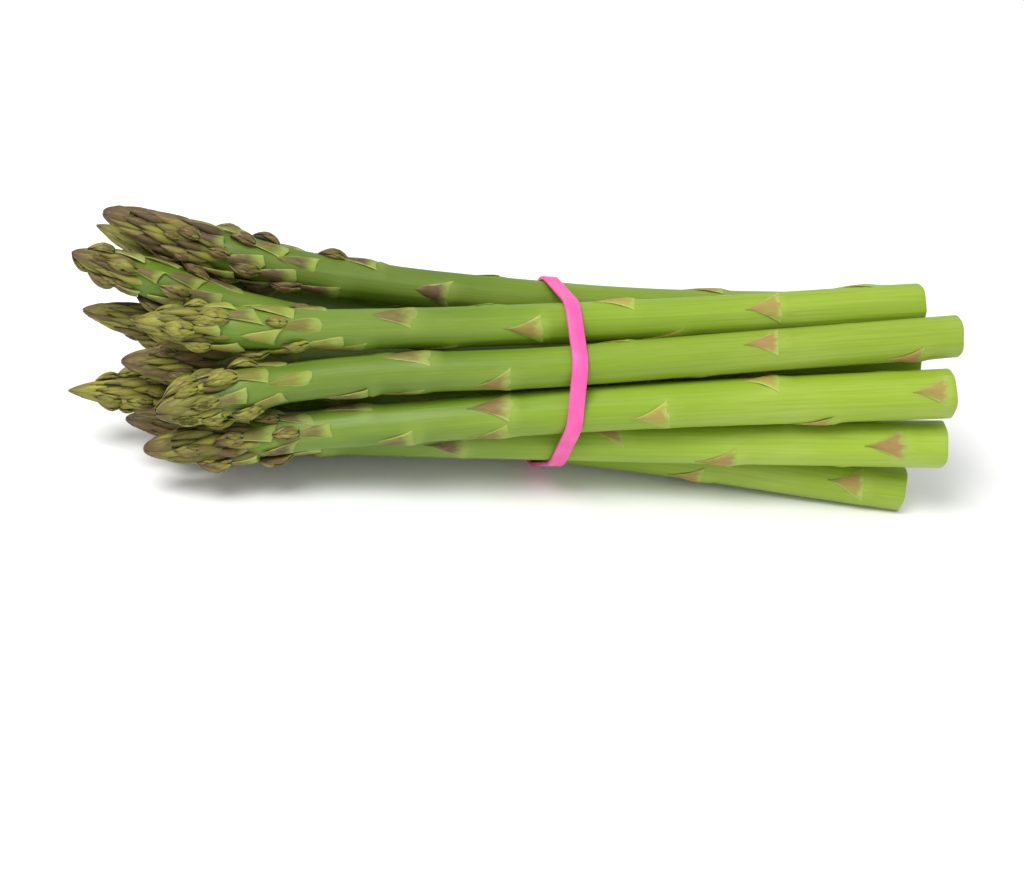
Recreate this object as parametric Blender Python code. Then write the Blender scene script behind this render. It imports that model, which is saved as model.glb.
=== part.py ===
"""A bundle of twelve green asparagus spears in one flat elastic band, lying on a table.

The spears lie along X, their heads towards -X and their cut ends towards +X, and the band
holds them a little past the middle. They cross it as a loose twist, so the heads fan out.
The origin is on the table, under the middle of the bundle's outline. Each spear is one grown
piece: its stem, the scales that cover its head and the bracts along its stem are one solid.
"""

import math
import random
from dataclasses import dataclass

import bmesh
import bpy
from mathutils import Vector

MM = 0.001

# Lengths are in millimetres until a mesh is made
SIDES = 16
AXIS_HEIGHT = 28.4
MIDDLE = (-0.64, -3.14)
TIE_X = 14.0
NECK_X = -74.0
STEM_STEP = 22.0

# The widest part of a head, as a share of its length from the tip
HEAD_BULGE = 0.62
HEAD_ROWS = 10
HEAD_ROW_SHRINK = 1.2
HEAD_TWIST = 0.3
PAD_RELIEF = 0.18
PAD_OVERHANG = 0.25

BRACT_LENGTH = 11.0
BRACT_WIDTH = 9.0
BRACT_LIFT = 1.1
BRACT_LEAST_LIFT = 0.3
BRACT_ROOT = 1.2
GOLDEN_TURN = 137.5
CUT_BEVEL = 0.9

CLEARANCE = 0.35
BAND_X = 8.6
BAND_LEAN = 0.17
BAND_WIDTH = 4.0
BAND_THICKNESS = 1.0
BAND_REACH = 10.0
# The side that the band leans towards, straight out from the bundle's axis
LEAN_WAY = Vector((0.0, 0.96, -0.28))


@dataclass(frozen=True)
class Spear:
    """One spear: where its middle line runs, in (y, z) from the bundle's axis, and its sizes."""

    name: str
    butt_x: float
    butt: tuple
    tie: tuple
    neck: tuple
    tip: tuple
    widths: tuple  # across the butt, the tie, the neck and the head
    head: float
    taper: float  # how pointed the tip is: 0.4 for a blunt one, 0.7 for a sharp one
    bract_x: float  # one bract's place, and the way that it faces
    bract_turn: float
    bract_step: float
    hand: int = 1


SPEARS = (
    Spear("spear_01", 104, (13.5, 15.5), (10.5, 14), (10.5, 21.5), (-108, 13.5, 29.5),
          (11, 10, 10, 12.5), 52, 0.42, -18.5, 160, 12),
    Spear("spear_02", 98, (20.5, 5.5), (17.5, 4), (16.5, 10), (-110, 23.5, 20.5),
          (11, 10.5, 9.5, 12), 48, 0.7, 82, 30, 14.5),
    Spear("spear_03", 96, (11, -3), (7.6, -1), (3.2, 10.9), (-115, 6.5, 21),
          (11, 10, 8.5, 11), 40, 0.5, 86, 60, 14.0, -1),
    Spear("spear_04", 101, (21.5, -9), (16.2, -8.7), (8, -0.8), (-112, 10.5, 2.5),
          (11, 10.5, 9, 11), 42, 0.55, 88, 330, 15.0),
    Spear("spear_05", 105, (4.5, 23.5), (-5.5, 17.2), (-15.5, 15), (-98, -17, 15.6),
          (11.5, 10.5, 10, 12), 44, 0.5, 65.5, 132, 13, -1),
    Spear("spear_06", 106, (1, 10), (-4.4, 4.8), (-8, 0), (-101, -10, 0),
          (11.5, 10.3, 9.5, 12), 42, 0.5, 92, 100, 15.0, -1),
    Spear("spear_07", 97, (-2, -3.5), (-3.2, -7), (-1.2, -13.2), (-114, -7.5, -11),
          (11, 10.5, 9.5, 11.5), 46, 0.7, 85, 200, 14.0),
    Spear("spear_08", 113, (-7, 21.5), (-16, 10.8), (-25, 1.5), (-91.5, -30.5, -1.8),
          (11, 10.2, 9.7, 13), 32, 0.42, 64, 126, 19),
    Spear("spear_09", 113, (-15.5, -6.5), (-14.5, -12.5), (-12.2, -16.8), (-99, -16, -13),
          (12.5, 11, 9.2, 10.2), 40, 0.5, 100.5, 153, 14.7),
    Spear("spear_10", 112, (-14.5, 8.5), (-19, -0.8), (-24, -12.6), (-94, -26.8, -15),
          (13, 11.5, 10, 12.2), 42, 0.45, 109, 143, 14.5, -1),
    Spear("spear_11", 106, (-12.5, -22.9), (-4, -20), (3.2, -24), (-92, 4, -24.2),
          (12, 11, 9, 10), 38, 0.55, 94, 155, 14),
    Spear("spear_12", 94, (6.5, -23), (8.3, -18.2), (15, -23.6), (-86, 17, -24),
          (12, 11, 9, 11), 38, 0.55, 78, 20, 14.0, -1),
)


def clear_scene():
    for obj in list(bpy.data.objects):
        bpy.data.objects.remove(obj, do_unlink=True)


def make_material(name, colour, roughness):
    material = bpy.data.materials.new(name)
    material.use_nodes = True
    shader = material.node_tree.nodes["Principled BSDF"]
    shader.inputs["Base Color"].default_value = (*colour, 1.0)
    shader.inputs["Roughness"].default_value = roughness
    shader.inputs["Metallic"].default_value = 0.0
    return material


def curve_through(xs, ys, x):
    """The height at x of a smooth curve through the points, whose xs fall."""
    runs = [after - before for before, after in zip(xs, xs[1:])]
    slopes = [(after - before) / run for before, after, run in zip(ys, ys[1:], runs)]
    tangents = [slopes[0]]
    for k in range(1, len(runs)):
        weighted = slopes[k - 1] * runs[k] + slopes[k] * runs[k - 1]
        tangents.append(weighted / (runs[k - 1] + runs[k]))
    tangents.append(slopes[-1])
    k = sum(x <= middle for middle in xs[1:-1])
    t = (x - xs[k]) / runs[k]
    start = ys[k] * (2 * t**3 - 3 * t**2 + 1)
    leaving = tangents[k] * runs[k] * (t**3 - 2 * t**2 + t)
    end = ys[k + 1] * (3 * t**2 - 2 * t**3)
    arriving = tangents[k + 1] * runs[k] * (t**3 - t**2)
    return start + leaving + end + arriving


def middle_line(spear, x):
    """The point of the spear's middle line at x."""
    xs = (spear.butt_x, TIE_X, NECK_X, spear.tip[0])
    y = curve_through(xs, (spear.butt[0], spear.tie[0], spear.neck[0], spear.tip[1]), x)
    z = curve_through(xs, (spear.butt[1], spear.tie[1], spear.neck[1], spear.tip[2]), x)
    return Vector((x - MIDDLE[0], y - MIDDLE[1], z + AXIS_HEIGHT))


def cross_axes(spear, x):
    """Two unit vectors square to the spear at x: one near +Y and one near +Z."""
    way = (middle_line(spear, x + 0.5) - middle_line(spear, x - 0.5)).normalized()
    upward = Vector((0, 0, 1))
    upward = (upward - way * upward.dot(way)).normalized()
    return upward.cross(way), upward


def radius_at(spear, x):
    """Half the spear's width at x. A head swells from its neck and rounds off to the tip."""
    butt, tie, neck, head = spear.widths
    head_x = spear.tip[0] + spear.head
    if x > TIE_X:
        return 0.5 * (tie + (butt - tie) * (x - TIE_X) / (spear.butt_x - TIE_X))
    if x > head_x:
        return 0.5 * (neck + (tie - neck) * (x - head_x) / (TIE_X - head_x))
    share = max(0.0, (x - spear.tip[0]) / spear.head)
    if share <= HEAD_BULGE:
        return 0.5 * head * math.sin(share / HEAD_BULGE * math.pi / 2) ** spear.taper
    fall = (share - HEAD_BULGE) / (1 - HEAD_BULGE)
    return 0.5 * (head + (neck - head) * fall * fall * (3 - 2 * fall))


def around(spear, x, turn, radius):
    """The point at this radius round the spear's middle line. Turn 0 is +Y and 90 is up."""
    sideways, upward = cross_axes(spear, x)
    angle = math.radians(turn)
    return middle_line(spear, x) + radius * (math.cos(angle) * sideways + math.sin(angle) * upward)


def add_ring(bm, spear, x, scale=1.0):
    step = 360 / SIDES
    radius = radius_at(spear, x) * scale
    return [bm.verts.new(around(spear, x, j * step, radius)) for j in range(SIDES)]


def bridge(bm, first, second):
    for j in range(SIDES):
        k = (j + 1) % SIDES
        bm.faces.new((first[j], first[k], second[k], second[j]))


def add_cut_end(bm, spear):
    """The cut end, with its edge a little rounded. Returns the ring that the stem goes on from."""
    centre = bm.verts.new(middle_line(spear, spear.butt_x))
    rim = add_ring(bm, spear, spear.butt_x, 0.93)
    for j in range(SIDES):
        bm.faces.new((centre, rim[(j + 1) % SIDES], rim[j]))
    shoulder = add_ring(bm, spear, spear.butt_x - CUT_BEVEL)
    bridge(bm, rim, shoulder)
    return shoulder


def head_row_x(spear, row):
    """Rows of scales crowd together towards the tip."""
    return spear.tip[0] + spear.head * (1 - row / HEAD_ROWS) ** HEAD_ROW_SHRINK


def add_head(bm, spear, neck_ring, rng):
    """The head's scales: pointed pads in rows, each row turned half a pad from the one before.

    A pad's four corners lie in the furrows between the pads. Its ridge rises from the middle to
    a point that hangs over the furrow above it, as the real scales lap over those further on.
    """
    step = 360 / SIDES
    last = HEAD_ROWS - 1
    rows = [neck_ring]
    for i in range(1, HEAD_ROWS):
        x = head_row_x(spear, i)
        outer = radius_at(spear, x)
        relief = outer * PAD_RELIEF * min(1.0, i / 3)
        row = []
        for j in range(SIDES):
            turn = (j + HEAD_TWIST * i) * step + rng.uniform(-3, 3)
            raised = (i + j) % 2 == 0 and i < last
            radius = outer - (0.1 if raised else 1.0) * relief
            row.append(bm.verts.new(around(spear, x, turn, radius)))
        rows.append(row)
    for i in range(1, last):
        x = head_row_x(spear, i)
        above = head_row_x(spear, i + 1)
        point_x = above + PAD_OVERHANG * (above - x)
        for j in range(SIDES):
            if (i + j) % 2:
                continue
            turn = (j + HEAD_TWIST * (i + 1)) * step
            point = bm.verts.new(around(spear, point_x, turn, radius_at(spear, above)))
            bottom, top = rows[i - 1][j], rows[i + 1][j]
            left, right = rows[i][j - 1], rows[i][(j + 1) % SIDES]
            ridge = rows[i][j]
            for corners in ((bottom, right, ridge), (right, point, ridge), (right, top, point),
                            (top, left, point), (left, ridge, point), (left, bottom, ridge)):
                bm.faces.new(corners)
    for j in range(SIDES):
        k = (j + 1) % SIDES
        if j % 2 == 0:
            bm.faces.new((rows[0][j - 1], rows[0][j], rows[1][j]))
            bm.faces.new((rows[0][j], rows[0][k], rows[1][j]))
        if (last + j) % 2 == 0:
            bm.faces.new((rows[last - 1][j], rows[last][j], rows[last][j - 1]))
            bm.faces.new((rows[last - 1][j], rows[last][k], rows[last][j]))
    tip = bm.verts.new(middle_line(spear, spear.tip[0]))
    for j in range(SIDES):
        bm.faces.new((rows[last][j], rows[last][(j + 1) % SIDES], tip))


def mesh_object(bm, name):
    bmesh.ops.recalc_face_normals(bm, faces=bm.faces)
    bmesh.ops.scale(bm, vec=(MM, MM, MM), verts=bm.verts)
    mesh = bpy.data.meshes.new(name)
    bm.to_mesh(mesh)
    bm.free()
    obj = bpy.data.objects.new(name, mesh)
    bpy.context.scene.collection.objects.link(obj)
    return obj


def make_core(spear, rng):
    """The stem and the head, without the stem's bracts."""
    bm = bmesh.new()
    ring = add_cut_end(bm, spear)
    start = spear.butt_x - CUT_BEVEL
    neck_x = spear.tip[0] + spear.head
    count = round((start - neck_x) / STEM_STEP)
    for k in range(1, count + 1):
        following = add_ring(bm, spear, start + (neck_x - start) * k / count)
        bridge(bm, ring, following)
        ring = following
    add_head(bm, spear, ring, rng)
    return mesh_object(bm, spear.name)


def room_at(point, own):
    """How far this point is from the other spears and from the table."""
    room = point.z
    for other in SPEARS:
        if other is own:
            continue
        for offset in range(-8, 9, 2):
            x = point.x + MIDDLE[0] + offset
            if other.tip[0] < x < other.butt_x:
                gap = (point - middle_line(other, x)).length - radius_at(other, x)
                room = min(room, gap)
    return room


def band_x(point):
    """Where along X the band's middle is, on this side of the bundle."""
    across = point - Vector((0, 0, AXIS_HEIGHT)) + Vector((0, MIDDLE[1], 0))
    return BAND_X - MIDDLE[0] - BAND_LEAN * across.dot(LEAN_WAY)


def bract_places(spear):
    """(x, turn, lift) of each bract: a golden turn apart, and closer together near the head."""
    end = spear.tip[0] + spear.head + BRACT_LENGTH * 0.6
    golden_turn = spear.hand * GOLDEN_TURN
    x, turn = spear.bract_x, spear.bract_turn
    while x + spear.bract_step < spear.butt_x - 6:
        x, turn = x + spear.bract_step, turn - golden_turn
    places = []
    while x > end:
        middle = around(spear, x - BRACT_LENGTH / 3, turn, radius_at(spear, x))
        base = around(spear, x, turn, radius_at(spear, x))
        room = min(room_at(middle, spear), room_at(base, spear))
        lift = min(BRACT_LIFT, 0.5 * (room - CLEARANCE))
        clear_of_band = abs(middle.x - band_x(middle)) > BAND_REACH
        if lift > BRACT_LEAST_LIFT and clear_of_band:
            places.append((x, turn, lift))
        # Past the given bract they crowd together, down to 0.72 of the step at the head
        nearness = min(1.0, 1.6 * (x - end) / (spear.butt_x - end))
        x -= spear.bract_step * (1.0 if x > spear.bract_x else 0.72 + 0.28 * nearness)
        turn += golden_turn
    return places


def make_bract(spear, x, turn, lift):
    """A pointed scale that clasps the stem: a raised foot towards the cut end, a flush tip."""
    radius = radius_at(spear, x)
    half = math.degrees(0.5 * BRACT_WIDTH / radius)
    # Along the bract, across it in half widths, and the share of the lift
    outline = ((0.0, -1.0, 0.6), (0.06, 0.0, 1.0), (0.0, 1.0, 0.6), (0.42, 0.45, 0.6),
               (1.0, 0.0, 0.15), (0.42, -0.45, 0.6))
    bm = bmesh.new()
    upper, lower = [], []
    for along, across, share in outline:
        at = x - along * BRACT_LENGTH
        upper.append(bm.verts.new(around(spear, at, turn + across * half, radius_at(spear, at) + share * lift)))
        at = x - (0.1 + 0.8 * along) * BRACT_LENGTH
        inner = radius_at(spear, at) - BRACT_ROOT
        lower.append(bm.verts.new(around(spear, at, turn + 0.8 * across * half, inner)))
    ridge_x = x - 0.4 * BRACT_LENGTH
    ridge = bm.verts.new(around(spear, ridge_x, turn, radius_at(spear, ridge_x) + lift))
    count = len(outline)
    for j in range(count):
        k = (j + 1) % count
        bm.faces.new((upper[j], upper[k], ridge))
        bm.faces.new((lower[j], lower[k], upper[k], upper[j]))
    bm.faces.new(list(reversed(lower)))
    return mesh_object(bm, "bract")


def apply_modifiers(obj):
    graph = bpy.context.evaluated_depsgraph_get()
    mesh = bpy.data.meshes.new_from_object(obj.evaluated_get(graph))
    obj.modifiers.clear()
    obj.data = mesh


def fuse_bracts(spear, obj):
    group = bpy.data.collections.new(spear.name + "_bracts")
    bpy.context.scene.collection.children.link(group)
    for x, turn, lift in bract_places(spear):
        bract = make_bract(spear, x, turn, lift)
        bpy.context.scene.collection.objects.unlink(bract)
        group.objects.link(bract)
    union = obj.modifiers.new("bracts", "BOOLEAN")
    union.operation = "UNION"
    union.operand_type = "COLLECTION"
    union.collection = group
    union.solver = "MANIFOLD"
    apply_modifiers(obj)
    for bract in list(group.objects):
        bpy.data.objects.remove(bract, do_unlink=True)
    bpy.data.collections.remove(group)


def flatten_on_table(obj):
    """Cuts off what reaches under the table, which leaves the flat spots that the bundle rests on."""
    lowest = min(vertex.co.z for vertex in obj.data.vertices)
    if lowest >= 0:
        return
    bm = bmesh.new()
    bmesh.ops.create_cube(bm, size=1.0)
    bmesh.ops.scale(bm, vec=(400, 200, 10), verts=bm.verts)
    bmesh.ops.translate(bm, vec=(0, 0, -5), verts=bm.verts)
    table = mesh_object(bm, "table")
    cut = obj.modifiers.new("table", "BOOLEAN")
    cut.operation = "DIFFERENCE"
    cut.object = table
    cut.solver = "MANIFOLD"
    apply_modifiers(obj)
    bpy.data.objects.remove(table, do_unlink=True)


def make_spear(spear, material):
    rng = random.Random(spear.name)
    obj = make_core(spear, rng)
    fuse_bracts(spear, obj)
    flatten_on_table(obj)
    obj.data.materials.clear()
    obj.data.materials.append(material)
    obj.data.shade_smooth()
    obj.data.set_sharp_from_angle(angle=math.radians(35))
    return obj


def hull_of(points):
    """The convex outline of flat points, anticlockwise."""
    ordered = sorted(points)

    def half(run):
        kept = []
        for point in run:
            while len(kept) > 1:
                (ax, ay), (bx, by) = kept[-2], kept[-1]
                if (bx - ax) * (point[1] - ay) - (by - ay) * (point[0] - ax) > 0:
                    break
                kept.pop()
            kept.append(point)
        return kept[:-1]

    return half(ordered) + half(reversed(ordered))


def band_outline():
    """The taut line round the stems, in (y, z), with the band's clearance."""
    points = []
    for spear in SPEARS:
        tie_x = band_x(middle_line(spear, BAND_X)) + MIDDLE[0]
        for x in (tie_x - 0.6 * BAND_WIDTH, tie_x, tie_x + 0.6 * BAND_WIDTH):
            centre = middle_line(spear, x)
            radius = radius_at(spear, x) + CLEARANCE
            for turn in range(0, 360, 15):
                angle = math.radians(turn)
                y = centre.y + radius * math.cos(angle)
                z = centre.z + radius * math.sin(angle)
                points.append((round(y, 3), round(z, 3)))
    return hull_of(points)


def spread_out(outline, least):
    """The outline without points closer than this to the one before."""
    kept = [outline[0]]
    for point in outline[1:]:
        if math.dist(point, kept[-1]) >= least:
            kept.append(point)
    return kept


def make_band(material):
    """The elastic band: a flat ring pulled straight from stem to stem, leaning along the bundle."""
    outline = spread_out(band_outline(), 1.0)
    count = len(outline)
    bm = bmesh.new()
    rings = []
    for j, (y, z) in enumerate(outline):
        before, after = outline[j - 1], outline[(j + 1) % count]
        way = Vector((0, after[0] - before[0], after[1] - before[1])).normalized()
        out = Vector((0, way.z, -way.y))
        inner = Vector((0, y, z))
        section = []
        for side, depth in ((-1, 0), (1, 0), (1, BAND_THICKNESS), (-1, BAND_THICKNESS)):
            point = inner + out * depth
            point.x = band_x(point) + side * BAND_WIDTH / 2
            section.append(bm.verts.new(point))
        rings.append(section)
    for first, second in zip(rings, rings[1:] + rings[:1]):
        for j in range(4):
            k = (j + 1) % 4
            bm.faces.new((first[j], first[k], second[k], second[j]))
    obj = mesh_object(bm, "elastic_band")
    obj.data.materials.append(material)
    obj.data.shade_smooth()
    obj.data.set_sharp_from_angle(angle=math.radians(35))
    return obj


def main():
    clear_scene()
    stem_green = make_material("asparagus_green", (0.36, 0.46, 0.09), 0.45)
    band_pink = make_material("band_pink", (0.84, 0.13, 0.46), 0.5)
    for spear in SPEARS:
        make_spear(spear, stem_green)
    make_band(band_pink)


main()
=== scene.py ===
"""The looks of a bundle of green asparagus in a pink elastic band, dressed round its solids.

Each spear is one mesh of closed shells: the stem, the pads of its closed head, the open leaves
at the head's foot, the side buds and the bracts along the stem. The middle lines, the widths and
the golden turns are those of the solids. Lengths are in millimetres until a mesh is made.
"""

from __future__ import annotations

import logging
import math
import random
from dataclasses import dataclass, field
from enum import Enum

import bpy
import numpy as np
from mathutils import Matrix, Vector


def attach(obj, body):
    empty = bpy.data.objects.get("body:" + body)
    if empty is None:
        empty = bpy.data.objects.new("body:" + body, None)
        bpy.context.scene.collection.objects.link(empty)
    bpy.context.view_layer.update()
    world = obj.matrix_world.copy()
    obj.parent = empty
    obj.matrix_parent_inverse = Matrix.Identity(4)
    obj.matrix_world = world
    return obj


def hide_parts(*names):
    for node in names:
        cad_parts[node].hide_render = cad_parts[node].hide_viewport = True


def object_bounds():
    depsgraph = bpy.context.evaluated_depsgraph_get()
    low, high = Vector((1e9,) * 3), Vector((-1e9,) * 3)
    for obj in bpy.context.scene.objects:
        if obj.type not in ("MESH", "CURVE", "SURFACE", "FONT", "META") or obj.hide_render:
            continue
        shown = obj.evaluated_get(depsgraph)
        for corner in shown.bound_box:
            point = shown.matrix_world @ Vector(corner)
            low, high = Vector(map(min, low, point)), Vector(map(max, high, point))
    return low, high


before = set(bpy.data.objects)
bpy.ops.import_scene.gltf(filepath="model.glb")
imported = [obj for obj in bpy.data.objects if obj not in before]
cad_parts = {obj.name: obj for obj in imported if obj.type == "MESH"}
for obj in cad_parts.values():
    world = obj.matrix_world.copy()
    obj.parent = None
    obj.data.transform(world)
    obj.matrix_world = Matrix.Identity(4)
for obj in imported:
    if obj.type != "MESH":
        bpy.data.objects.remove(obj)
CAD_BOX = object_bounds()

LOG = logging.getLogger("bundle")
MM = 0.001

# The bundle's axis, the stations that all spears share, and what centres the whole.
AXIS_HEIGHT = 28.4
MIDDLE = np.array((-0.64, -3.14))
TIE_X = 14.0
NECK_X = -74.0

# The heads: where they are widest, and how their rows of pads lie.
COLUMNS = 16
HEAD_BULGE = 0.62
PAD_ROW_STEP = 3.8
HEAD_ROW_SHRINK = 1.2
HEAD_TWIST = 0.3
PAD_RELIEF = 0.18
PAD_OVERHANG = 0.25
BUDDING_BLUSH = 0.72

# The larger bracts along the stems.
BRACT_LENGTH = 11.0
BRACT_WIDTH = 9.0
BRACT_LIFT = 1.1
BRACT_LEAST_LIFT = 0.3
GOLDEN_TURN = 137.5

# The elastic band, and the space that it keeps.
CLEARANCE = 0.35
BAND_X = 8.6
BAND_LEAN = 0.17
BAND_WIDTH = 4.0
BAND_THICKNESS = 1.0
BAND_REACH = 10.0
LEAN_WAY = np.array((0.0, 0.96, -0.28))

Colour = tuple[float, float, float]


def linear(red: float, green: float, blue: float) -> Colour:
    """Turns a colour as a screen shows it, 0 to 255, into the linear one that a shader takes.

    Args:
        red: The red share, 0 to 255.
        green: The green share.
        blue: The blue share.

    Returns:
        The linear colour, 0 to 1.
    """
    shares = (share / 255 for share in (red, green, blue))
    return tuple(s / 12.92 if s <= 0.04045 else ((s + 0.055) / 1.055) ** 2.4 for s in shares)


class Wire:
    """One output of a shader node. Python's operators on it add Math nodes."""

    def __init__(self, shop: "Shop", socket: bpy.types.NodeSocket) -> None:
        """Args:
            shop: The node tree's workshop.
            socket: The output that this wire comes from.
        """
        self.shop = shop
        self.socket = socket

    def _with(self, operation: str, first: "Wire | float", second: "Wire | float" = 0.0) -> "Wire":
        """The Math node that joins two values.

        Args:
            operation: The Math node's operation.
            first: The first value.
            second: The second value.

        Returns:
            The node's value.
        """
        return self.shop.node("ShaderNodeMath", {"operation": operation}, {0: first, 1: second})

    def __add__(self, other: "Wire | float") -> "Wire":
        """The sum."""
        return self._with("ADD", self, other)

    def __radd__(self, other: float) -> "Wire":
        """The sum, with a number first."""
        return self._with("ADD", other, self)

    def __sub__(self, other: "Wire | float") -> "Wire":
        """The difference."""
        return self._with("SUBTRACT", self, other)

    def __rsub__(self, other: float) -> "Wire":
        """The difference, with a number first."""
        return self._with("SUBTRACT", other, self)

    def __mul__(self, other: "Wire | float") -> "Wire":
        """The product."""
        return self._with("MULTIPLY", self, other)

    def __rmul__(self, other: float) -> "Wire":
        """The product, with a number first."""
        return self._with("MULTIPLY", other, self)


class Shop:
    """Builds one material's node tree."""

    def __init__(self, name: str) -> None:
        """Args:
            name: The material's name.
        """
        self.material = bpy.data.materials.new(name)
        self.material.use_nodes = True
        self.tree = self.material.node_tree
        self.shader = self.tree.nodes["Principled BSDF"]

    def node(self, kind: str, settings: dict | None = None, inputs: dict | None = None,
             out: int | str = 0) -> Wire:
        """Adds a node, with its settings made first.

        Args:
            kind: The node's type.
            settings: Its properties by name. A ramp's "stops" are (place, colour) pairs.
            inputs: Values or wires, by the name or number of the socket.
            out: The output to hand back.

        Returns:
            That output.
        """
        node = self.tree.nodes.new(kind)
        settings = dict(settings or {})
        stops = settings.pop("stops", ())
        for name, value in settings.items():
            setattr(node, name, value)
        for number, (place, colour) in enumerate(stops):
            elements = node.color_ramp.elements
            stop = elements[number] if number < 2 else elements.new(place)
            stop.position = place
            stop.color = (*colour, 1.0)
        for key, value in (inputs or {}).items():
            self.plug(node.inputs[key], value)
        return Wire(self, node.outputs[out])

    def plug(self, socket: bpy.types.NodeSocket, value: "Wire | float | Colour") -> None:
        """Gives a socket a wire, a number or a colour.

        Args:
            socket: The input.
            value: What it takes.
        """
        if isinstance(value, Wire):
            self.tree.links.new(value.socket, socket)
        elif socket.type == "RGBA":
            socket.default_value = (*value, 1.0)
        else:
            socket.default_value = value

    def finish(self, **sockets: "Wire | float | Colour") -> bpy.types.Material:
        """Sets the shader's sockets.

        Args:
            sockets: Values or wires, by the socket's name with _ for a space.

        Returns:
            The material.
        """
        for name, value in sockets.items():
            self.plug(self.shader.inputs[name.replace("_", " ")], value)
        return self.material

    def mix(self, factor: "Wire | float", first: "Wire | Colour", second: "Wire | Colour",
            blend: str = "MIX") -> Wire:
        """Mixes two colours.

        Args:
            factor: The second colour's share.
            first: The first colour.
            second: The second colour.
            blend: The Mix node's blend type.

        Returns:
            The mixed colour.
        """
        settings = {"data_type": "RGBA", "blend_type": blend}
        return self.node("ShaderNodeMix", settings, {0: factor, 6: first, 7: second}, 2)

    def stretched(self, vector: Wire, scale: tuple[float, float, float]) -> Wire:
        """A vector with each of its parts multiplied.

        Args:
            vector: The vector.
            scale: What each part is multiplied by.

        Returns:
            The product.
        """
        return self.node("ShaderNodeVectorMath", {"operation": "MULTIPLY"}, {0: vector, 1: scale})

    def noise(self, vector: Wire, detail: float = 2.0, roughness: float = 0.5) -> Wire:
        """Smooth noise of one cell a unit.

        Args:
            vector: Where it is read.
            detail: The number of finer layers.
            roughness: How strong the finer layers are.

        Returns:
            The noise, about 0.2 to 0.8.
        """
        inputs = {"Vector": vector, "Scale": 1.0, "Detail": detail, "Roughness": roughness}
        return self.node("ShaderNodeTexNoise", {}, inputs, "Fac")

    def step(self, value: Wire, low: float, high: float) -> Wire:
        """Rises smoothly from 0 at low to 1 at high.

        Args:
            value: What is compared.
            low: Where the rise starts.
            high: Where it ends.

        Returns:
            The share, 0 to 1.
        """
        inputs = {"Value": value, "From Min": low, "From Max": high}
        return self.node("ShaderNodeMapRange", {"interpolation_type": "SMOOTHSTEP"}, inputs)

    def marks(self, name: str) -> tuple[Wire, Wire, Wire]:
        """The three numbers of a mesh's attribute.

        Args:
            name: The attribute's name.

        Returns:
            Its parts.
        """
        vector = self.node("ShaderNodeAttribute", {"attribute_name": name}, {}, "Vector")
        split = self.node("ShaderNodeSeparateXYZ", {}, {0: vector})
        return tuple(Wire(self, output) for output in split.socket.node.outputs)

    def bump(self, height: Wire, distance: float, strength: float = 1.0) -> Wire:
        """The normal of a surface with low relief.

        Args:
            height: The relief, 0 to 1.
            distance: How high 1 stands, in metres.
            strength: The share of it that is used.

        Returns:
            The normal.
        """
        inputs = {"Height": height, "Distance": distance, "Strength": strength}
        return self.node("ShaderNodeBump", {}, inputs, "Normal")


class Flesh(Enum):
    """What a shell of a spear is, as its finish reads it."""

    STEM = 0.0
    BRACT = 0.5
    PAD = 1.0


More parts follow.
